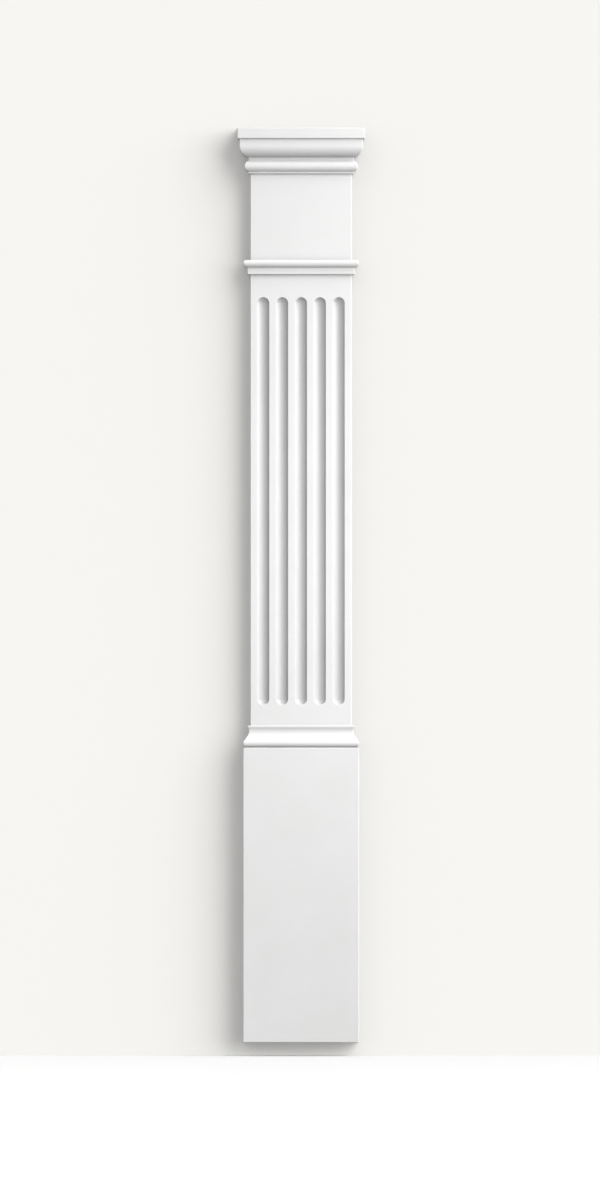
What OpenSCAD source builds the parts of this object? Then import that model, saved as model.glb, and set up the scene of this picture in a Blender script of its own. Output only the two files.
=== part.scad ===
// Fluted wall pilaster, moulded in one piece: plinth, base moulding,
// fluted shaft, astragal, plain neck and cap.
// Millimetres. +Z is up, the flat back lies on y = 0 against the wall and the
// front looks along -Y. The origin is the middle of the back's bottom edge.
// Every moulding runs round the front and both sides with mitred corners, so
// one outline, measured out from the shaft's faces, shapes all three runs.

/* [Overall] */
// Height from the underside of the plinth to the top of the abacus
height = 2286; // [1800:1:3000]
// Width of the shaft across the front
shaft_w = 254; // [180:0.5:350]
// Depth of the shaft from the wall to its face
shaft_depth = 42; // [25:0.5:90]

/* [Plinth] */
// Height of the plain plinth block
plinth_h = 736.6; // [300:0.1:1000]
// How far the plinth stands out from the shaft
plinth_out = 18; // [10:0.1:30]

/* [Base moulding] */
// Radius of the half-round torus on the plinth
base_torus_r = 11.4; // [8:0.1:16]
// How far the nose of the torus stands out from the shaft
base_torus_out = 18; // [15:0.1:24]
// How far the shoulder above the torus stands out from the shaft
base_shoulder_out = 12.5; // [10:0.1:17]
// Height of the upright face of the shoulder
base_shoulder_h = 2.5; // [1:0.1:10]
// Radius of the cove above the shoulder
cove_r = 21; // [15:0.1:40]
// How far the deepest line of the cove stands out from the shaft
cove_out = 4; // [1:0.1:5.4]
// How far the fillet over the cove stands out from the shaft
base_fillet_out = 6.7; // [5.5:0.1:12]
// Height of the fillet over the cove
base_fillet_h = 4.7; // [2:0.1:12]

/* [Flutes] */
// Number of flutes across the shaft
flute_count = 5; // [1:1:7]
// Width of a flute at the face
flute_w = 29; // [24:0.1:40]
// Depth of a flute along its middle
flute_depth = 14; // [4:0.1:14.5]
// Plain length of shaft from the base moulding up to the flutes
flute_foot_gap = 51.7; // [10:0.1:150]
// Plain length of shaft from the flutes up to the astragal
flute_head_gap = 57.9; // [10:0.1:150]

/* [Astragal] */
// Height of the flat band under the nosing
band_h = 16.7; // [6:0.1:40]
// How far the band stands out from the shaft
band_out = 7.5; // [4:0.1:12]
// How far the nosing stands out from the shaft
nosing_out = 17.6; // [14:0.1:24]
// Radius of the nosing below its widest line
nosing_lower_r = 11.4; // [8:0.1:16]
// Radius of the nosing above its widest line
nosing_upper_r = 7.3; // [4:0.1:16]

/* [Neck] */
// Height of the plain neck between the astragal and the cap
neck_h = 216.4; // [80:0.1:400]

/* [Cap] */
// Height of the fillet under the cap's torus
cap_lower_fillet_h = 4.7; // [2:0.1:12]
// Radius of the cap's half-round torus
cap_torus_r = 14.8; // [8:0.1:20]
// How far the nose of the cap's torus stands out from the shaft
cap_torus_out = 14.7; // [10:0.1:24]
// Height of the fillet over the cap's torus
cap_upper_fillet_h = 8.2; // [3:0.1:20]
// How far both fillets of the cap stand out from the shaft
cap_fillet_out = 5.2; // [2:0.1:9]
// Radius of the ovolo under its upright face
ovolo_r = 28.1; // [20:0.1:40]
// How far the ovolo stands out from the shaft
ovolo_out = 27.4; // [20:0.1:36]
// Height of the upright face of the ovolo
ovolo_face_h = 18.8; // [5:0.1:40]
// Height of the abacus slab at the top
abacus_h = 26.5; // [12:0.1:60]
// How far the abacus stands out from the shaft
abacus_out = 32.5; // [28:0.1:50]

/* [Hidden] */

// Smoothness of every circle
$fn = 96;

// Half the chord that lies at distance d from the middle of a circle
function half_chord(r, d) = sqrt(r * r - d * d);

// A level rounded to a hundredth of a millimetre
function hundredth(z) = round(100 * z) / 100;

// Levels of the base moulding, from the plinth up
base_torus_z = plinth_h + base_torus_r;
base_shoulder_z = base_torus_z
    + half_chord(base_torus_r, base_shoulder_out - base_torus_out + base_torus_r);
cove_axis_out = cove_out + cove_r;
cove_axis_z = base_shoulder_z + base_shoulder_h
    + half_chord(cove_r, cove_axis_out - base_shoulder_out);
shaft_foot_z = cove_axis_z + half_chord(cove_r, cove_axis_out - base_fillet_out)
    + base_fillet_h;

// Levels of the cap, from the top down
abacus_z = height - abacus_h;
ovolo_z = abacus_z - ovolo_face_h;
cap_torus_half_h = half_chord(cap_torus_r, cap_fillet_out - cap_torus_out + cap_torus_r);
cap_torus_z = ovolo_z - half_chord(ovolo_r, cap_fillet_out - ovolo_out + ovolo_r)
    - cap_upper_fillet_h - cap_torus_half_h;
neck_head_z = cap_torus_z - cap_torus_half_h - cap_lower_fillet_h;

// Levels of the astragal, from the neck down
neck_foot_z = neck_head_z - neck_h;
nosing_z = neck_foot_z - nosing_upper_r;
shaft_head_z = nosing_z - band_h
    - half_chord(nosing_lower_r, band_out - nosing_out + nosing_lower_r);

// Flutes: equal lands between them and at both edges of the shaft, and a
// round section whose axis lies in front of the face. Each groove and its two
// ball ends meet at rounded levels, so they share exact edges
land_w = (shaft_w - flute_count * flute_w) / (flute_count + 1);
flute_pitch = land_w + flute_w;
flute_r = (flute_w * flute_w / 4 + flute_depth * flute_depth) / (2 * flute_depth);
flute_axis_y = -shaft_depth - flute_r + flute_depth;
flute_foot_z = hundredth(shaft_foot_z + flute_foot_gap + flute_w / 2);
flute_head_z = hundredth(shaft_head_z - flute_head_gap - flute_w / 2);

// Outline pieces. They lie in a plane, with the distance from the middle (or
// from the wall) across and the height up; core is the distance to the
// shaft's face. Flat pieces run on behind the rounds that they meet.

// An upright face, out from the shaft, between two levels
module face(core, out, foot, head) {
    translate([0, foot]) square([core + out, head - foot]);
}

// A quarter of a disc, right of its centre and above it
module quarter_disc(r) {
    intersection() {
        circle(r);
        square(2 * r);
    }
}

// A quarter-round that is widest at its foot, at level z
module round_up(core, out, z, r) {
    face(core, out - r, z, z + r);
    translate([core + out - r, z]) quarter_disc(r);
}

// A quarter-round that is widest at its head, at level z
module round_down(core, out, z, r) {
    face(core, out - r, z - r, z);
    translate([core + out - r, z]) mirror([0, 1]) quarter_disc(r);
}

module base_outline(core) {
    face(core, plinth_out, 0, plinth_h);
    round_down(core, base_torus_out, base_torus_z, base_torus_r);
    round_up(core, base_torus_out, base_torus_z, base_torus_r);
    difference() {
        union() {
            face(core, base_shoulder_out, base_torus_z, cove_axis_z);
            face(core, base_fillet_out, base_torus_z, shaft_foot_z);
        }
        translate([core + cove_axis_out, cove_axis_z]) circle(cove_r);
    }
}

module astragal_outline(core) {
    face(core, band_out, shaft_head_z, nosing_z);
    round_down(core, nosing_out, nosing_z, nosing_lower_r);
    round_up(core, nosing_out, nosing_z, nosing_upper_r);
}

module cap_outline(core) {
    face(core, cap_fillet_out, neck_head_z, ovolo_z);
    round_down(core, cap_torus_out, cap_torus_z, cap_torus_r);
    round_up(core, cap_torus_out, cap_torus_z, cap_torus_r);
    round_down(core, ovolo_out, ovolo_z, ovolo_r);
    face(core, ovolo_out, ovolo_z, abacus_z);
    face(core, abacus_out, abacus_z, height);
}

module outline(core) {
    face(core, 0, 0, height);
    base_outline(core);
    astragal_outline(core);
    cap_outline(core);
}

// The front outline and the side outline, each run through the other, meet
// in a mitre at every corner
module body() {
    reach = max(abacus_out, plinth_out) + 1;
    intersection() {
        rotate([90, 0, 0]) linear_extrude(shaft_depth + reach) {
            outline(shaft_w / 2);
            mirror([1, 0]) outline(shaft_w / 2);
        }
        rotate([90, 0, -90])
            linear_extrude(shaft_w + 2 * reach, center = true) outline(shaft_depth);
    }
}

// One flute: a round groove with ball ends, about its own axis
module flute() {
    translate([0, flute_axis_y, flute_foot_z])
        cylinder(r = flute_r, h = flute_head_z - flute_foot_z);
    translate([0, flute_axis_y, flute_foot_z]) sphere(flute_r);
    translate([0, flute_axis_y, flute_head_z]) sphere(flute_r);
}

module pilaster() {
    color([0.95, 0.95, 0.94])
    difference() {
        body();
        for (i = [0 : flute_count - 1])
            translate([(i - (flute_count - 1) / 2) * flute_pitch, 0, 0]) flute();
    }
}

pilaster();
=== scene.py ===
"""Wall pilaster in moulded urethane: its body, its finish and a plain stage around it."""

import math
from collections import defaultdict, namedtuple

import bmesh
import bpy
from bpy.props import (
    FloatProperty,
    FloatVectorProperty,
    IntProperty,
    PointerProperty,
)
from mathutils import Matrix, Vector


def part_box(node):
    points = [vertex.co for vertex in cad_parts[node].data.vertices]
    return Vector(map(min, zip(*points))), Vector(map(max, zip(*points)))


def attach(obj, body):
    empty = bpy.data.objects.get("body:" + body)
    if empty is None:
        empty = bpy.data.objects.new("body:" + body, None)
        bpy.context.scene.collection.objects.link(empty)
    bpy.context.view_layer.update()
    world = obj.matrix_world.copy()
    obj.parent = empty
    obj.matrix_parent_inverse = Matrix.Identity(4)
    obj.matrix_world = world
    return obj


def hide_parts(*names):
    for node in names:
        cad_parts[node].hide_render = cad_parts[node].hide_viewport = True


bl_info = {
    "name": "Fluted Pilaster",
    "version": (1, 0, 0),
    "blender": (4, 5, 0),
    "location": "View3D > Sidebar > Pilaster",
    "description": "Builds a one-piece fluted wall pilaster, its finish and a plain stage",
    "category": "Add Mesh",
}

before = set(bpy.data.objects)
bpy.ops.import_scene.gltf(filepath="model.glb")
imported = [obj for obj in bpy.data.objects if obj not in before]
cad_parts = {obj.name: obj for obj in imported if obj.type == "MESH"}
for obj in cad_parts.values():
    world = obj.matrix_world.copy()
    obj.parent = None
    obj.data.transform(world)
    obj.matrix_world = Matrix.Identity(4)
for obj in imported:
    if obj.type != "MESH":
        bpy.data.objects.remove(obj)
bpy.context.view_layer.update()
NODE = "pilaster"
PIECE = "pilaster_body"
LOW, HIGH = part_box(NODE)

MM = 0.001

# How far the abacus, the widest member, stands out from the shaft
ABACUS_OUT = 32.5 * MM
# Nothing but the flat back lies closer to the wall than this
NOT_BACK = 0.1 * MM

# Smoothness of the mouldings' arcs, the flutes' end rounds and the eased edges
ARC_STEP = math.radians(5)
RING_SEGMENTS = 64
LIP_SEGMENTS = 5
CORNER_SEGMENTS = 5
EASE_SEGMENTS = 3

# Share of its colour with which a surface lights others, low so that hollows stay deep
THROWN_SHARE = 0.15


# ---------------------------------------------------------------- properties


def length(name, description, default):
    """A length that the user can set, in metres."""
    return FloatProperty(
        name=name, description=description, default=default, min=0.0, unit="LENGTH", precision=4
    )


def colour(name, description, default):
    """A plain colour that the user can set."""
    return FloatVectorProperty(
        name=name,
        description=description,
        default=default,
        size=3,
        min=0.0,
        max=1.0,
        subtype="COLOR",
    )


def amount(name, description, default):
    """A plain number from nought to one."""
    return FloatProperty(name=name, description=description, default=default, min=0.0, max=1.0)


def turn(name, description, degrees):
    """An angle that the user can set, given in degrees."""
    return FloatProperty(
        name=name, description=description, default=math.radians(degrees), subtype="ANGLE"
    )


def strength(name, description, default):
    """The strength of a light that the user can set."""
    return FloatProperty(name=name, description=description, default=default, min=0.0)


class PilasterBody(bpy.types.PropertyGroup):
    """Sizes of the shaft, the plinth and the eased edges."""

    height: length(
        "Height", "From the underside of the plinth to the top of the abacus", HIGH.z - LOW.z
    )
    shaft_width: length(
        "Shaft width", "Across the front of the shaft", HIGH.x - LOW.x - 2 * ABACUS_OUT
    )
    shaft_depth: length(
        "Shaft depth", "From the wall to the face of the shaft", HIGH.y - LOW.y - ABACUS_OUT
    )
    plinth_height: length("Plinth height", "Height of the plain plinth", 736.6 * MM)
    plinth_out: length("Plinth projection", "How far the plinth stands out", 18 * MM)
    corner_radius: length("Corner radius", "Rounding of the upright corners", 2.2 * MM)
    block_ease: length("Block ease", "Rounding of the plinth's and abacus's edges", 1.6 * MM)
    fine_ease: length("Fine ease", "Rounding of the mouldings' edges and creases", 0.9 * MM)


class PilasterBase(bpy.types.PropertyGroup):
    """Sizes of the moulding between the plinth and the shaft."""

    seat_out: length("Seat projection", "How far the seat under the torus stands out", 11.4 * MM)
    torus_radius: length("Torus radius", "Radius of the half-round torus", 11.4 * MM)
    torus_out: length("Torus projection", "How far the nose of the torus stands out", 18 * MM)
    shoulder_out: length("Shoulder projection", "How far the shoulder stands out", 12.5 * MM)
    shoulder_height: length("Shoulder height", "Height of the shoulder's upright face", 2.5 * MM)
    cove_radius: length("Cove radius", "Radius of the hollow over the shoulder", 21 * MM)
    cove_out: length("Cove projection", "How far the hollow's deepest line stands out", 4 * MM)
    fillet_out: length("Fillet projection", "How far the fillet stands out", 6.7 * MM)
    fillet_height: length("Fillet height", "Height of the fillet over the hollow", 4.7 * MM)


class PilasterFlutes(bpy.types.PropertyGroup):
    """Sizes of the flutes in the shaft."""

    count: IntProperty(
        name="Count", description="Number of flutes across the shaft", default=5, min=1, max=7
    )
    width: length("Flute width", "Width of a flute at the face", 29 * MM)
    depth: length("Flute depth", "Depth of a flute along its middle", 14 * MM)
    foot_gap: length("Foot gap", "Plain shaft from the base moulding up to the flutes", 51.7 * MM)
    head_gap: length("Head gap", "Plain shaft from the flutes up to the astragal", 57.9 * MM)
    lip_radius: length("Lip radius", "Rounding of the lips of the flutes", 1.2 * MM)


class PilasterAstragal(bpy.types.PropertyGroup):
    """Sizes of the moulding between the shaft and the neck."""

    band_height: length("Band height", "Height of the flat band under the nosing", 16.7 * MM)
    band_out: length("Band projection", "How far the band stands out", 7.5 * MM)
    nosing_out: length("Nosing projection", "How far the nosing stands out", 17.6 * MM)
    lower_radius: length("Lower radius", "Radius of the nosing below its widest line", 11.4 * MM)
    upper_radius: length("Upper radius", "Radius of the nosing above its widest line", 7.3 * MM)


class PilasterCap(bpy.types.PropertyGroup):
    """Sizes of the neck and the cap."""

    neck_height: length("Neck height", "Height of the plain neck", 216.4 * MM)
    lower_fillet: length("Lower fillet height", "Height of the fillet under the torus", 4.7 * MM)
    torus_radius: length("Torus radius", "Radius of the half-round torus", 14.8 * MM)
    torus_out: length("Torus projection", "How far the nose of the torus stands out", 14.7 * MM)
    upper_fillet: length("Upper fillet height", "Height of the fillet over the torus", 8.2 * MM)
    fillet_out: length("Fillet projection", "How far both fillets stand out", 5.2 * MM)
    ovolo_radius: length("Ovolo radius", "Radius of the ovolo under its upright face", 28.1 * MM)
    ovolo_out: length("Ovolo projection", "How far the ovolo stands out", 27.4 * MM)
    ovolo_face: length("Ovolo face height", "Height of the ovolo's upright face", 18.8 * MM)
    abacus_height: length("Abacus height", "Height of the slab at the top", 26.5 * MM)
    abacus_out: length("Abacus projection", "How far the slab stands out", ABACUS_OUT)


class PilasterFinish(bpy.types.PropertyGroup):
    """Colours and textures of the primed face and the bare back."""

    primer: colour("Primer", "Colour of the primer", (0.78, 0.78, 0.78))
    primer_thin: colour("Thin primer", "Colour where the primer is thinnest", (0.755, 0.755, 0.75))
    foam: colour("Foam", "Colour of the bare planed back", (0.66, 0.62, 0.52))
    foam_dark: colour("Dark foam", "Colour of the back's darker drifts", (0.6138, 0.5766, 0.4836))
    roughness: amount("Roughness", "Roughness of the primer", 0.46)
    roughness_drift: amount("Roughness drift", "How far the primer's roughness strays", 0.04)
    foam_roughness: amount("Foam roughness", "Roughness of the bare back", 0.85)
    peel_depth: length("Peel depth", "Depth of the primer's fine texture", 0.09 * MM)
    peel_size: length("Peel size", "Size of the primer's fine texture", 1.1 * MM)
    cell_depth: length("Cell depth", "Depth of the foam's open cells", 0.15 * MM)
    cell_size: length("Cell size", "Size of the foam's open cells", 0.7 * MM)


class PilasterStage(bpy.types.PropertyGroup):
    """The wall, the floor, the lights and the camera."""

    wall: colour("Wall", "Colour of the wall", (0.885, 0.877, 0.853))
    floor: colour("Floor", "Colour of the floor", (0.97, 0.97, 0.97))
    wall_roughness: amount("Wall roughness", "Roughness of the wall", 0.85)
    floor_roughness: amount("Floor roughness", "Roughness of the floor", 0.7)
    shine: amount("Shine", "Strength of the wall's and the floor's reflections", 0.2)
    room: length("Room", "Width and height of the wall, and depth of the floor", 24.0)
    wall_gap: length("Wall gap", "From the pilaster's back to the wall", 0.5 * MM)
    floor_gap: length("Floor gap", "From the plinth's underside down to the floor", 35 * MM)
    key: strength("Key light", "Light from above on the right", 3.12)
    key_side: turn("Key side", "How far the key light stands to the right of the front", 60)
    key_height: turn("Key height", "How high the key light stands", 31)
    key_spread: turn("Key spread", "Angular size of the key light", 68)
    sky: strength("Sky light", "Light from overhead", 0.70)
    ground: strength("Ground light", "Light from below", 0.22)
    edge: strength("Edge light", "Softbox close by on the right, on the pilaster alone", 4.6)
    front: strength("Front light", "Softbox in front, on the pilaster alone", 2.6)
    backdrop: strength("Wall light", "Light from straight ahead, on the wall alone", 0.5)
    overhead: strength("Floor light", "Light from above in front, on the floor alone", 0.72)
    overhead_height: turn("Floor light height", "How high the floor light stands", 30)
    rear: strength("Rear light", "Softbox behind the wall", 160.0)
    lens: FloatProperty(
        name="Lens", description="Focal length in millimetres", default=300.0, min=1.0
    )
    view_height: length("View height", "Height in view at the front of the abacus", 2.998)
    eye_level: length("Eye level", "Height of the camera", 1.106)
    eye_left: length("Eye left", "How far left of the middle the camera stands", 2.5 * MM)


# ------------------------------------------------------------------- outline

# A corner of the outline: how far out from the shaft, how high, and how far it is rounded
Stop = namedtuple("Stop", "out level ease")


def meeting_angle(radius, out, flat_out):
    """Angle from level at which a round with its nose at out meets an upright at flat_out."""
    return math.acos((flat_out - out + radius) / radius)


def round_stops(axis_out, axis_level, radius, start, end):
    """Stops along an arc about its axis, without its first one."""
    count = max(1, round(abs(end - start) / ARC_STEP))
    stops = []
    for i in range(1, count + 1):
        angle = start + (end - start) * i / count
        out = axis_out + radius * math.cos(angle)
        stops.append(Stop(out, axis_level + radius * math.sin(angle), 0))
    return stops


def eased(stops, ease):
    """The same stops, with the last one's edge rounded."""
    return stops[:-1] + [stops[-1]._replace(ease=ease)]


def base_outline(body, base):
    """Outline from the foot of the plinth to the foot of the shaft."""
    torus_axis = base.torus_out - base.torus_radius
    torus_level = body.plinth_height + base.torus_radius
    foot_angle = meeting_angle(base.torus_radius, base.torus_out, base.seat_out)
    head_angle = meeting_angle(base.torus_radius, base.torus_out, base.shoulder_out)
    seat_level = torus_level - base.torus_radius * math.sin(foot_angle)
    cove_foot = torus_level + base.torus_radius * math.sin(head_angle) + base.shoulder_height
    cove_axis = base.cove_out + base.cove_radius
    cove_start = math.pi + math.acos((cove_axis - base.shoulder_out) / base.cove_radius)
    cove_end = math.pi - math.acos((cove_axis - base.fillet_out) / base.cove_radius)
    cove_level = cove_foot - base.cove_radius * math.sin(cove_start)
    shaft_foot = cove_level + base.cove_radius * math.sin(cove_end) + base.fillet_height
    fine = body.fine_ease
    stops = [
        Stop(body.plinth_out, 0, body.block_ease),
        Stop(body.plinth_out, body.plinth_height, body.block_ease),
        Stop(base.seat_out, body.plinth_height, 0),
        Stop(base.seat_out, seat_level, 0),
    ]
    torus = round_stops(torus_axis, torus_level, base.torus_radius, -foot_angle, head_angle)
    stops += eased(torus, fine)
    stops.append(Stop(base.shoulder_out, cove_foot, fine))
    cove = round_stops(cove_axis, cove_level, base.cove_radius, cove_start, cove_end)
    stops += eased(cove, fine)
    stops += [Stop(base.fillet_out, shaft_foot, fine), Stop(0, shaft_foot, fine)]
    return stops


def cap_outline(body, cap):
    """Outline from the head of the neck to the top of the abacus."""
    abacus_level = body.height - cap.abacus_height
    ovolo_level = abacus_level - cap.ovolo_face
    ovolo_angle = meeting_angle(cap.ovolo_radius, cap.ovolo_out, cap.fillet_out)
    ovolo_foot = ovolo_level - cap.ovolo_radius * math.sin(ovolo_angle)
    torus_angle = meeting_angle(cap.torus_radius, cap.torus_out, cap.fillet_out)
    torus_half = cap.torus_radius * math.sin(torus_angle)
    torus_level = ovolo_foot - cap.upper_fillet - torus_half
    neck_head = torus_level - torus_half - cap.lower_fillet
    torus_axis = cap.torus_out - cap.torus_radius
    ovolo_axis = cap.ovolo_out - cap.ovolo_radius
    fine = body.fine_ease
    stops = [
        Stop(0, neck_head, fine),
        Stop(cap.fillet_out, neck_head, fine),
        Stop(cap.fillet_out, torus_level - torus_half, fine),
    ]
    torus = round_stops(torus_axis, torus_level, cap.torus_radius, -torus_angle, torus_angle)
    stops += eased(torus, fine)
    stops.append(Stop(cap.fillet_out, ovolo_foot, fine))
    stops += round_stops(ovolo_axis, ovolo_level, cap.ovolo_radius, -ovolo_angle, 0)
    stops += [
        Stop(cap.ovolo_out, abacus_level, fine),
        Stop(cap.abacus_out, abacus_level, body.block_ease),
        Stop(cap.abacus_out, body.height, body.block_ease),
    ]
    return stops


def astragal_outline(body, astragal, neck_foot):
    """Outline from the head of the shaft to the foot of the neck."""
    nosing_level = neck_foot - astragal.upper_radius
    meeting = meeting_angle(astragal.lower_radius, astragal.nosing_out, astragal.band_out)
    band_head = nosing_level - astragal.lower_radius * math.sin(meeting)
    shaft_head = band_head - astragal.band_height
    lower_axis = astragal.nosing_out - astragal.lower_radius
    upper_axis = astragal.nosing_out - astragal.upper_radius
    fine = body.fine_ease
    stops = [
        Stop(0, shaft_head, fine),
        Stop(astragal.band_out, shaft_head, fine),
        Stop(astragal.band_out, band_head, fine),
    ]
    stops += round_stops(lower_axis, nosing_level, astragal.lower_radius, -meeting, 0)
    stops += round_stops(upper_axis, nosing_level, astragal.upper_radius, 0, math.pi / 2)
    stops.append(Stop(0, neck_foot, fine))
    return stops


# ---------------------------------------------------------------------- mesh


def round_off(bm, geom, radius, segments, affect):
    """Rounds vertices, or edges and creases, by a radius."""
    bmesh.ops.bevel(
        bm,
        geom=geom,
        offset=radius,
        offset_type="OFFSET",
        segments=segments,
        profile=0.5,
        affect=affect,
        material=-1,
    )


def start_plan(bm, body):
    """The plinth's plan as one face on the floor, with its two front corners rounded."""
    width = body.shaft_width + 2 * body.plinth_out
    depth = body.shaft_depth + body.plinth_out
    bmesh.ops.create_grid(bm, x_segments=1, y_segments=1, size=0.5)
    bmesh.ops.scale(bm, vec=(width, depth, 1), verts=bm.verts)
    bmesh.ops.translate(bm, vec=(0, -depth / 2, 0), verts=bm.verts)
    front = [v for v in bm.verts if v.co.y < -NOT_BACK]
    round_off(bm, front, body.corner_radius, CORNER_SEGMENTS, "VERTICES")


def extrude_run(bm, run, out, rise):
    """Extrudes the open run round front and sides, upwards by rise and outwards by out."""
    made = bmesh.ops.extrude_edge_only(bm, edges=run)["geom"]
    verts = [g for g in made if isinstance(g, bmesh.types.BMVert)]
    fresh = set(verts)
    bmesh.ops.translate(bm, vec=(0, 0, rise), verts=verts)
    bmesh.ops.translate(bm, vec=(-out, 0, 0), verts=[v for v in verts if v.co.x < 0])
    bmesh.ops.translate(bm, vec=(out, 0, 0), verts=[v for v in verts if v.co.x > 0])
    bmesh.ops.translate(bm, vec=(0, -out, 0), verts=[v for v in verts if v.co.y < -NOT_BACK])
    return [g for g in made if isinstance(g, bmesh.types.BMEdge) and fresh.issuperset(g.verts)]


def run_up(bm, stops):
    """Runs the plan up through the stops and returns the edges to be eased, by radius."""
    run = [e for e in bm.edges if any(v.co.y < -NOT_BACK for v in e.verts)]
    to_ease = defaultdict(list)
    to_ease[stops[0].ease].extend(run)
    for before, after in zip(stops, stops[1:]):
        run = extrude_run(bm, run, after.out - before.out, after.level - before.level)
        if after.ease:
            to_ease[after.ease].extend(run)
    bmesh.ops.contextual_create(bm, geom=run)
    bmesh.ops.holes_fill(bm, edges=[e for e in bm.edges if e.is_boundary], sides=0)
    return to_ease


def flute_section(flutes):
    """Half the section of a flute, from the face down to its middle, as (half width, depth)."""
    radius = (flutes.width**2 / 4 + flutes.depth**2) / (2 * flutes.depth)
    axis_height = radius - flutes.depth
    lip = flutes.lip_radius
    lip_out = math.sqrt((radius + lip) ** 2 - (axis_height + lip) ** 2)
    wall_angle = math.atan2(axis_height + lip, lip_out)
    sweep = math.pi / 2 - wall_angle
    section = []
    for i in range(LIP_SEGMENTS + 1):
        angle = math.pi / 2 + sweep * i / LIP_SEGMENTS
        section.append((lip_out + lip * math.cos(angle), lip - lip * math.sin(angle)))
    wall_steps = round(sweep / ARC_STEP)
    for i in range(1, wall_steps):
        angle = wall_angle + sweep * i / wall_steps
        section.append((radius * math.cos(angle), radius * math.sin(angle) - axis_height))
    return section


def sink_flute(bm, x, face_y, foot, head, section):
    """Sinks a round-ended flute below the face; foot and head are its end rounds' axes."""
    half_width = section[0][0]
    half_step = math.pi / RING_SEGMENTS
    place = (
        Matrix.Translation((x, face_y, foot))
        @ Matrix.Rotation(math.pi / 2, 4, "X")
        @ Matrix.Rotation(half_step, 4, "Z")
    )
    verts = bmesh.ops.create_circle(
        bm,
        cap_ends=True,
        segments=RING_SEGMENTS,
        radius=half_width / math.cos(half_step),
        matrix=place,
    )["verts"]
    bmesh.ops.translate(bm, vec=(0, 0, head - foot), verts=[v for v in verts if v.co.z > foot])
    floor = verts[0].link_faces[0]
    floor.normal_update()
    if floor.normal.y > 0:
        floor.normal_flip()
    for (wide, shallow), (narrow, deep) in zip(section, section[1:]):
        bmesh.ops.inset_region(
            bm,
            faces=[floor],
            thickness=wide - narrow,
            depth=shallow - deep,
            use_even_offset=True,
            use_boundary=True,
        )


def flute_shaft(bm, body, flutes, shaft_foot, shaft_head):
    """Opens the face of the shaft and sinks the row of flutes into it."""
    face_y = -body.shaft_depth
    middle = Vector((0, face_y, (shaft_foot + shaft_head) / 2))
    front = min(bm.faces, key=lambda f: (f.calc_center_median() - middle).length)
    bmesh.ops.delete(bm, geom=[front], context="FACES_ONLY")
    section = flute_section(flutes)
    land = (body.shaft_width - flutes.count * flutes.width) / (flutes.count + 1)
    foot = shaft_foot + flutes.foot_gap + flutes.width / 2
    head = shaft_head - flutes.head_gap - flutes.width / 2
    for i in range(flutes.count):
        x = (i - (flutes.count - 1) / 2) * (land + flutes.width)
        sink_flute(bm, x, face_y, foot, head, section)
    rims = [e for e in bm.edges if e.is_boundary]
    bmesh.ops.triangle_fill(bm, edges=rims, use_beauty=True, normal=(0, -1, 0))


def build_body(bm, sizes):
    """Builds the whole pilaster as one closed skin."""
    body, astragal = sizes.pilaster_body, sizes.pilaster_astragal
    base = base_outline(body, sizes.pilaster_base)
    cap = cap_outline(body, sizes.pilaster_cap)
    collar = astragal_outline(body, astragal, cap[0].level - sizes.pilaster_cap.neck_height)
    start_plan(bm, body)
    for radius, edges in run_up(bm, base + collar + cap).items():
        round_off(bm, edges, radius, EASE_SEGMENTS, "EDGES")
    flute_shaft(bm, body, sizes.pilaster_flutes, base[-1].level, collar[0].level)
    bmesh.ops.recalc_face_normals(bm, faces=bm.faces)


# -------------------------------------------------------------------- finish

# Stretch in which nearly all of a noise's values lie
NOISE_MIDDLE = (0.3, 0.7)
# How many of the coat's slow drifts go into a metre
DRIFTS_PER_METRE = 9.0


def new_group(name, inputs, outputs):
    """An empty shader node group with named sockets; returns it with its two end nodes."""
    group = bpy.data.node_groups.new(name, "ShaderNodeTree")
    for socket, kind, default in inputs:
        made = group.interface.new_socket(socket, in_out="INPUT", socket_type=kind)
        if default is not None:
            made.default_value = default
    for socket, kind in outputs:
        group.interface.new_socket(socket, in_out="OUTPUT", socket_type=kind)
    return group, group.nodes.new("NodeGroupInput"), group.nodes.new("NodeGroupOutput")


def sprayed_texture():
    """Node group: the height of a sprayed coat's fine peel, and slow drifts in its thickness."""
    group, given, result = new_group(
        "Sprayed texture",
        [("Position", "NodeSocketVector", None), ("Grain size", "NodeSocketFloat", 1 * MM)],
        [("Height", "NodeSocketFloat"), ("Drift", "NodeSocketFloat")],
    )
    link = group.links.new
    scale = group.nodes.new("ShaderNodeMath")
    scale.operation = "DIVIDE"
    scale.inputs[0].default_value = 1.0
    link(given.outputs["Grain size"], scale.inputs[1])
    peel = group.nodes.new("ShaderNodeTexNoise")
    peel.inputs["Detail"].default_value = 2.0
    peel.inputs["Roughness"].default_value = 0.55
    link(given.outputs["Position"], peel.inputs["Vector"])
    link(scale.outputs[0], peel.inputs["Scale"])
    drift = group.nodes.new("ShaderNodeTexNoise")
    drift.inputs["Scale"].default_value = DRIFTS_PER_METRE
    drift.inputs["Detail"].default_value = 3.0
    link(given.outputs["Position"], drift.inputs["Vector"])
    link(peel.outputs["Fac"], result.inputs["Height"])
    link(drift.outputs["Fac"], result.inputs["Drift"])
    return group


def spread(nodes, links, source, low, high):
    """Socket that runs from low to high over the middle stretch of a noise."""
    node = nodes.new("ShaderNodeMapRange")
    node.inputs["From Min"].default_value = NOISE_MIDDLE[0]
    node.inputs["From Max"].default_value = NOISE_MIDDLE[1]
    node.inputs["To Min"].default_value = low
    node.inputs["To Max"].default_value = high
    links.new(source, node.inputs["Value"])
    return node.outputs["Result"]


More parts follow.
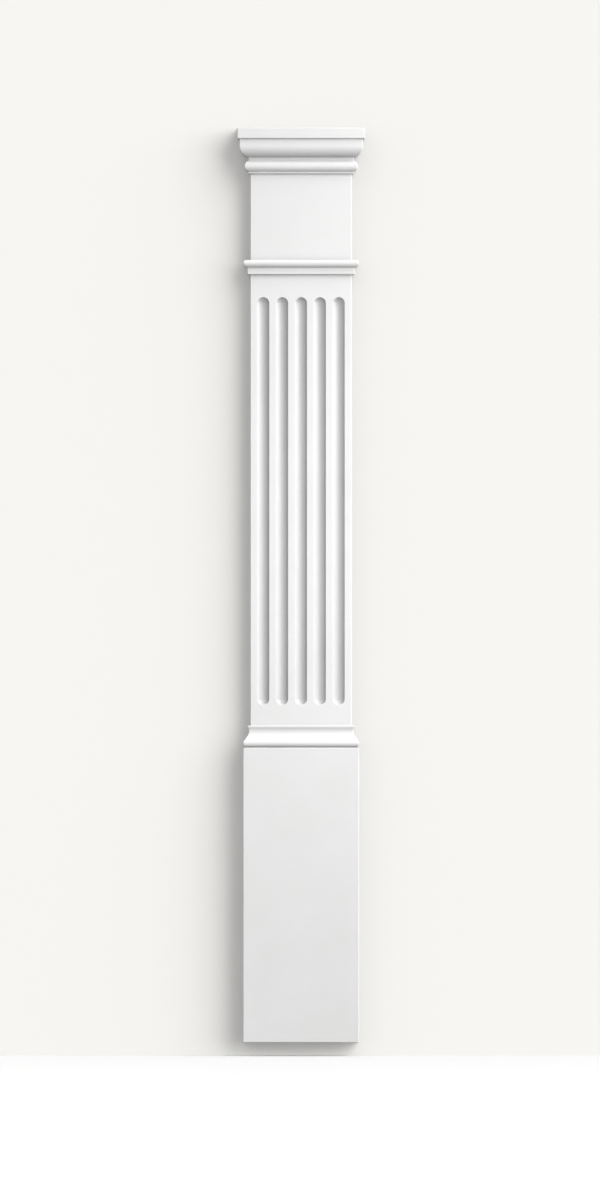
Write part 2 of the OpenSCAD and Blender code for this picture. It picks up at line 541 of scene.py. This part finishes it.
def new_material(name):
    """An empty material with its shader and output; returns material, nodes, links and shader."""
    material = bpy.data.materials.new(name)
    material.use_nodes = True
    nodes, links = material.node_tree.nodes, material.node_tree.links
    nodes.clear()
    shader = nodes.new("ShaderNodeBsdfPrincipled")
    output = nodes.new("ShaderNodeOutputMaterial")
    links.new(shader.outputs["BSDF"], output.inputs["Surface"])
    return material, nodes, links, shader


def mix_colours(nodes, links, factor, first, second):
    """Socket that mixes two colours, each given as a plain colour or a socket."""
    mix = nodes.new("ShaderNodeMix")
    mix.data_type = "RGBA"
    for socket, given in ((mix.inputs["A"], first), (mix.inputs["B"], second)):
        if isinstance(given, bpy.types.NodeSocket):
            links.new(given, socket)
        else:
            socket.default_value = (*given, 1)
    links.new(factor, mix.inputs["Factor"])
    return mix.outputs["Result"]


def thrown_by(surface):
    """Colour of the light that a surface of one colour throws on others."""
    return [THROWN_SHARE * c for c in surface]


def set_colour(nodes, links, shader, seen, thrown):
    """Gives a shader one colour to be seen in and another for the light it throws."""
    path = nodes.new("ShaderNodeLightPath")
    result = mix_colours(nodes, links, path.outputs["Is Diffuse Ray"], seen, thrown)
    links.new(result, shader.inputs["Base Color"])


def primed_urethane(finish, texture):
    """Factory-primed face: satin white with a fine sprayed peel."""
    material, nodes, links, shader = new_material("Primed urethane")
    place = nodes.new("ShaderNodeTexCoord")
    coat = nodes.new("ShaderNodeGroup")
    coat.node_tree = texture
    coat.inputs["Grain size"].default_value = finish.peel_size
    links.new(place.outputs["Object"], coat.inputs["Position"])
    drift = coat.outputs["Drift"]
    thinness = spread(nodes, links, drift, 0, 1)
    tint = mix_colours(nodes, links, thinness, finish.primer, finish.primer_thin)
    set_colour(nodes, links, shader, tint, thrown_by(finish.primer))
    smoothest = finish.roughness - finish.roughness_drift
    roughest = finish.roughness + finish.roughness_drift
    roughness = spread(nodes, links, drift, smoothest, roughest)
    links.new(roughness, shader.inputs["Roughness"])
    bump = nodes.new("ShaderNodeBump")
    bump.inputs["Distance"].default_value = finish.peel_depth
    links.new(coat.outputs["Height"], bump.inputs["Height"])
    links.new(bump.outputs["Normal"], shader.inputs["Normal"])
    return material


def planed_foam(finish, texture):
    """Bare back: dull foam with its cells open."""
    material, nodes, links, shader = new_material("Planed foam")
    place = nodes.new("ShaderNodeTexCoord")
    cells = nodes.new("ShaderNodeGroup")
    cells.node_tree = texture
    cells.inputs["Grain size"].default_value = finish.cell_size
    links.new(place.outputs["Object"], cells.inputs["Position"])
    shade = spread(nodes, links, cells.outputs["Drift"], 0, 1)
    tint = mix_colours(nodes, links, shade, finish.foam, finish.foam_dark)
    set_colour(nodes, links, shader, tint, thrown_by(finish.foam))
    shader.inputs["Roughness"].default_value = finish.foam_roughness
    bump = nodes.new("ShaderNodeBump")
    bump.inputs["Distance"].default_value = finish.cell_depth
    links.new(cells.outputs["Height"], bump.inputs["Height"])
    links.new(bump.outputs["Normal"], shader.inputs["Normal"])
    return material


# --------------------------------------------------------------------- stage

Softbox = namedtuple("Softbox", "size place aim")

# Width and height, place and aim of the softboxes, in metres from the pilaster's middle
REAR_BOX = Softbox((2.0, 2.0), Vector((-2.0, 2.537, 1.857)), Vector((0, 0, 0)))
EDGE_BOX = Softbox((0.2, 1.9), Vector((0.85, -0.5, 1.1)), Vector((0, 0, 0.3)))
FRONT_BOX = Softbox((0.3, 1.1), Vector((0.35, -0.9, 0.1)), Vector((0, 0, 0.1)))
# Rays that start closer than this to the wall pass through it
WALL_REACH = 2 * MM
# Sine of the angle from level over which the sky's light and the ground's light mix
HORIZON = 0.5
# How far the camera sees
FAR = 100.0


def plain_material(name, tint, roughness, shine):
    """A plain matt material for the stage."""
    material, nodes, links, shader = new_material(name)
    set_colour(nodes, links, shader, tint, thrown_by(tint))
    shader.inputs["Roughness"].default_value = roughness
    shader.inputs["Specular IOR Level"].default_value = shine
    return material


def see_through_from_behind(material, reach):
    """Lets rays through from behind, and rays that start closer than reach in front."""
    nodes, links = material.node_tree.nodes, material.node_tree.links
    shader = next(n for n in nodes if n.type == "BSDF_PRINCIPLED")
    output = next(n for n in nodes if n.type == "OUTPUT_MATERIAL")
    clear = nodes.new("ShaderNodeBsdfTransparent")
    side = nodes.new("ShaderNodeNewGeometry")
    path = nodes.new("ShaderNodeLightPath")
    close = nodes.new("ShaderNodeMath")
    close.operation = "LESS_THAN"
    close.inputs[1].default_value = reach
    links.new(path.outputs["Ray Length"], close.inputs[0])
    either = nodes.new("ShaderNodeMath")
    either.operation = "MAXIMUM"
    links.new(side.outputs["Backfacing"], either.inputs[0])
    links.new(close.outputs[0], either.inputs[1])
    mix = nodes.new("ShaderNodeMixShader")
    links.new(either.outputs[0], mix.inputs[0])
    links.new(shader.outputs[0], mix.inputs[1])
    links.new(clear.outputs[0], mix.inputs[2])
    links.new(mix.outputs[0], output.inputs["Surface"])


def stage_plane(name, size, matrix, material):
    """A square of the stage."""
    bm = bmesh.new()
    bmesh.ops.create_grid(bm, x_segments=1, y_segments=1, size=size / 2)
    bmesh.ops.transform(bm, matrix=matrix, verts=bm.verts)
    mesh = bpy.data.meshes.new(name)
    bm.to_mesh(mesh)
    bm.free()
    mesh.materials.append(material)
    plane = bpy.data.objects.new(name, mesh)
    bpy.context.scene.collection.objects.link(plane)
    return plane


def add_room(stage):
    """Adds the floor, and the wall, which lets the back be seen from behind."""
    level = LOW.z - stage.floor_gap
    material = plain_material("Pale floor", stage.floor, stage.floor_roughness, stage.shine)
    floor = stage_plane("floor", stage.room, Matrix.Translation((0, 0, level)), material)
    # The floor neither throws light on the pilaster nor holds the ground's light back
    floor.visible_diffuse = False
    floor.visible_shadow = False
    material = plain_material("Pale wall", stage.wall, stage.wall_roughness, stage.shine)
    see_through_from_behind(material, WALL_REACH)
    upright = Matrix.Rotation(math.pi / 2, 4, "X")
    place = Matrix.Translation((0, HIGH.y + stage.wall_gap, level + stage.room / 2))
    stage_plane("wall", stage.room, place @ upright, material)


def add_lamp(scene, light, lit_names):
    """Puts a light into the scene; it shines on the named objects only, or on all for none."""
    lamp = bpy.data.objects.new(light.name, light)
    scene.collection.objects.link(lamp)
    if lit_names:
        lit = bpy.data.collections.new(f"lit by the {light.name} light")
        for name in lit_names:
            lit.objects.link(bpy.data.objects[name])
        lamp.light_linking.receiver_collection = lit
    return lamp


def add_sun(scene, name, power, spread_angle, height, side, lit_names=()):
    """Adds a light from far away, by its height and by its turn to the right of the front."""
    light = bpy.data.lights.new(name, "SUN")
    light.energy = power
    light.angle = spread_angle
    lamp = add_lamp(scene, light, lit_names)
    lamp.rotation_euler = (math.pi / 2 - height, 0, side)


def add_softbox(scene, name, power, box, lit_names=()):
    """Adds a softbox that the camera doesn't see."""
    middle = (LOW + HIGH) / 2
    light = bpy.data.lights.new(name, "AREA")
    light.shape = "RECTANGLE"
    light.energy = power
    light.size, light.size_y = box.size
    lamp = add_lamp(scene, light, lit_names)
    lamp.location = middle + box.place
    lamp.rotation_euler = (box.place - box.aim).to_track_quat("Z", "Y").to_euler()
    lamp.visible_camera = False


def add_lights(scene, stage):
    """Adds all lamps."""
    add_sun(scene, "key", stage.key, stage.key_spread, stage.key_height, stage.key_side)
    add_sun(scene, "backdrop", stage.backdrop, 0, 0, 0, ["wall"])
    add_sun(scene, "overhead", stage.overhead, 0, stage.overhead_height, 0, ["floor"])
    add_softbox(scene, "rear", stage.rear, REAR_BOX)
    add_softbox(scene, "edge", stage.edge, EDGE_BOX, [PIECE])
    add_softbox(scene, "front", stage.front, FRONT_BOX, [PIECE])


def add_sky(scene, stage):
    """Lights the scene from all around, more from overhead than from below."""
    world = bpy.data.worlds.new("sky")
    world.use_nodes = True
    nodes, links = world.node_tree.nodes, world.node_tree.links
    direction = nodes.new("ShaderNodeTexCoord")
    parts = nodes.new("ShaderNodeSeparateXYZ")
    links.new(direction.outputs["Generated"], parts.inputs[0])
    power = nodes.new("ShaderNodeMapRange")
    power.inputs["From Min"].default_value = -HORIZON
    power.inputs["From Max"].default_value = HORIZON
    power.inputs["To Min"].default_value = stage.ground
    power.inputs["To Max"].default_value = stage.sky
    links.new(parts.outputs["Z"], power.inputs["Value"])
    nodes["Background"].inputs["Color"].default_value = (1, 1, 1, 1)
    links.new(power.outputs["Result"], nodes["Background"].inputs["Strength"])
    scene.world = world


def add_camera(scene, stage):
    """Adds the camera, level and straight in front."""
    camera = bpy.data.cameras.new("camera")
    camera.lens = stage.lens
    camera.clip_end = FAR
    distance = stage.view_height * camera.lens / camera.sensor_width
    viewer = bpy.data.objects.new("camera", camera)
    viewer.location = (-stage.eye_left, LOW.y - distance, stage.eye_level)
    viewer.rotation_euler = (math.pi / 2, 0, 0)
    scene.collection.objects.link(viewer)
    scene.camera = viewer


# ----------------------------------------------------------------- operators


class PILASTER_OT_make_pilaster(bpy.types.Operator):
    """Build the pilaster in one piece and finish it"""

    bl_idname = "pilaster.make_pilaster"
    bl_label = "Make Pilaster"

    def execute(self, context):
        scene = context.scene
        bm = bmesh.new()
        build_body(bm, scene)
        open_edges = sum(not e.is_manifold for e in bm.edges)
        if open_edges:
            raise RuntimeError(f"the pilaster's skin has {open_edges} open edges")
        for face in bm.faces:
            face.smooth = True
            face.material_index = int(face.calc_center_median().y > -NOT_BACK)
        for edge in bm.edges:
            edge.smooth = not all(v.co.y > -NOT_BACK for v in edge.verts)
        mesh = bpy.data.meshes.new(PIECE)
        bm.to_mesh(mesh)
        bm.free()
        texture = sprayed_texture()
        mesh.materials.append(primed_urethane(scene.pilaster_finish, texture))
        mesh.materials.append(planed_foam(scene.pilaster_finish, texture))
        piece = bpy.data.objects.new(PIECE, mesh)
        scene.collection.objects.link(piece)
        normals = piece.modifiers.new("Even flats", "WEIGHTED_NORMAL")
        normals.keep_sharp = True
        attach(piece, "root")
        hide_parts(NODE)
        return {"FINISHED"}


class PILASTER_OT_make_stage(bpy.types.Operator):
    """Set up the wall, the floor, the lights and the camera"""

    bl_idname = "pilaster.make_stage"
    bl_label = "Make Stage"

    def execute(self, context):
        scene = context.scene
        stage = scene.pilaster_stage
        add_room(stage)
        add_lights(scene, stage)
        add_sky(scene, stage)
        add_camera(scene, stage)
        scene.view_settings.view_transform = "Standard"
        return {"FINISHED"}


class PILASTER_PT_sidebar(bpy.types.Panel):
    """Lists the operators and their settings"""

    bl_idname = "PILASTER_PT_sidebar"
    bl_label = "Fluted Pilaster"
    bl_space_type = "VIEW_3D"
    bl_region_type = "UI"
    bl_category = "Pilaster"

    def draw(self, context):
        layout = self.layout
        for name, kind in GROUPS.items():
            box = layout.box()
            box.label(text=kind.__doc__)
            for prop in kind.__annotations__:
                box.prop(getattr(context.scene, name), prop)
        layout.operator(PILASTER_OT_make_pilaster.bl_idname)
        layout.operator(PILASTER_OT_make_stage.bl_idname)


GROUPS = {
    "pilaster_body": PilasterBody,
    "pilaster_base": PilasterBase,
    "pilaster_flutes": PilasterFlutes,
    "pilaster_astragal": PilasterAstragal,
    "pilaster_cap": PilasterCap,
    "pilaster_finish": PilasterFinish,
    "pilaster_stage": PilasterStage,
}
CLASSES = (
    *GROUPS.values(),
    PILASTER_OT_make_pilaster,
    PILASTER_OT_make_stage,
    PILASTER_PT_sidebar,
)


def register():
    """Adds the classes to Blender, and their settings to every scene."""
    for kind in CLASSES:
        bpy.utils.register_class(kind)
    for name, kind in GROUPS.items():
        setattr(bpy.types.Scene, name, PointerProperty(type=kind))


def unregister():
    """Takes out what register() adds."""
    for name in GROUPS:
        delattr(bpy.types.Scene, name)
    for kind in reversed(CLASSES):
        bpy.utils.unregister_class(kind)


def main():
    """Builds the pilaster and its stage."""
    register()
    bpy.ops.pilaster.make_pilaster()
    bpy.ops.pilaster.make_stage()


if __name__ == "__main__":
    main()
